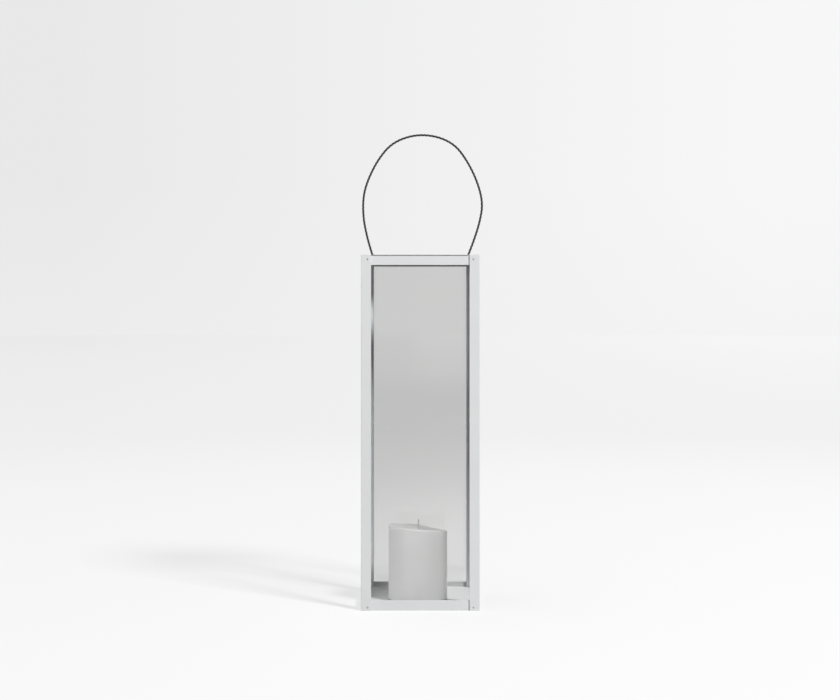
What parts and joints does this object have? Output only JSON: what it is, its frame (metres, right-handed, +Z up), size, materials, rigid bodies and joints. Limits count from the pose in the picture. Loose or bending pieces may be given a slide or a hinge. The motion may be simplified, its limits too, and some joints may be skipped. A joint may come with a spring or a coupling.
{
  "type": "candle lantern",
  "caption": "Tall square candle lantern: white lacquered angle frame, glass sides with a front pane that lifts out, vented roof, stiff cord handle and a pillar candle.",
  "frame": {"origin": "centre of the footprint, on the surface that the lantern stands on", "axes": "+Z up along the lantern's height; the front, where the pane lifts out, faces -Y; +X to the right"},
  "size_m": [0.1583, 0.15, 0.6091],
  "materials": {
    "white_lacquer": "satin lacquer",
    "glass": "clear, faintly grey",
    "pad_rubber": "matt, pale",
    "screw_steel": "satin",
    "ferrule_steel": "satin",
    "handle_cord": "laid cord, waxed",
    "candle_wax": "wax",
    "wick_cotton": "braided cotton"
  },
  "bodies": {
    "frame": {"front_left_post": "white_lacquer", "front_right_post": "white_lacquer", "back_left_post": "white_lacquer", "back_right_post": "white_lacquer", "front_left_bead": "white_lacquer", "front_right_bead": "white_lacquer", "back_left_bead": "white_lacquer", "back_right_bead": "white_lacquer", "front_bottom_rail": "white_lacquer", "back_bottom_rail": "white_lacquer", "left_bottom_rail": "white_lacquer", "right_bottom_rail": "white_lacquer", "front_top_rail": "white_lacquer", "back_top_rail": "white_lacquer", "left_top_rail": "white_lacquer", "right_top_rail": "white_lacquer", "roof_plate": "white_lacquer", "base_plate": "white_lacquer", "back_pane": "glass", "left_pane": "glass", "right_pane": "glass", "front_pads": "pad_rubber", "back_pads": "pad_rubber", "left_pads": "pad_rubber", "right_pads": "pad_rubber", "front_screws": "screw_steel", "back_screws": "screw_steel", "left_screws": "screw_steel", "right_screws": "screw_steel", "roof_screws": "screw_steel"},
    "front_pane": {"front_pane": "glass"},
    "candle": {"candle": "candle_wax", "wick": "wick_cotton"},
    "handle": {"handle_cord": "handle_cord", "left_ferrule": "ferrule_steel", "right_ferrule": "ferrule_steel"}
  },
  "joints": [
    {"name": "front_pane_lift", "type": "slide", "parent": "frame", "child": "front_pane", "axis": [0, 0, 1], "range_m": [0, 0.445]},
    {"name": "candle_lift", "type": "slide", "parent": "frame", "child": "candle", "axis": [0, 0, 1], "range_m": [0, 0.3]},
    {"name": "handle_lean", "type": "hinge", "parent": "frame", "child": "handle", "pos_m": [0, 0, 0.44268], "axis": [1, 0, 0], "range_deg": [-20, 20], "stiffness_Nm_per_rad": 0.03}
  ]
}
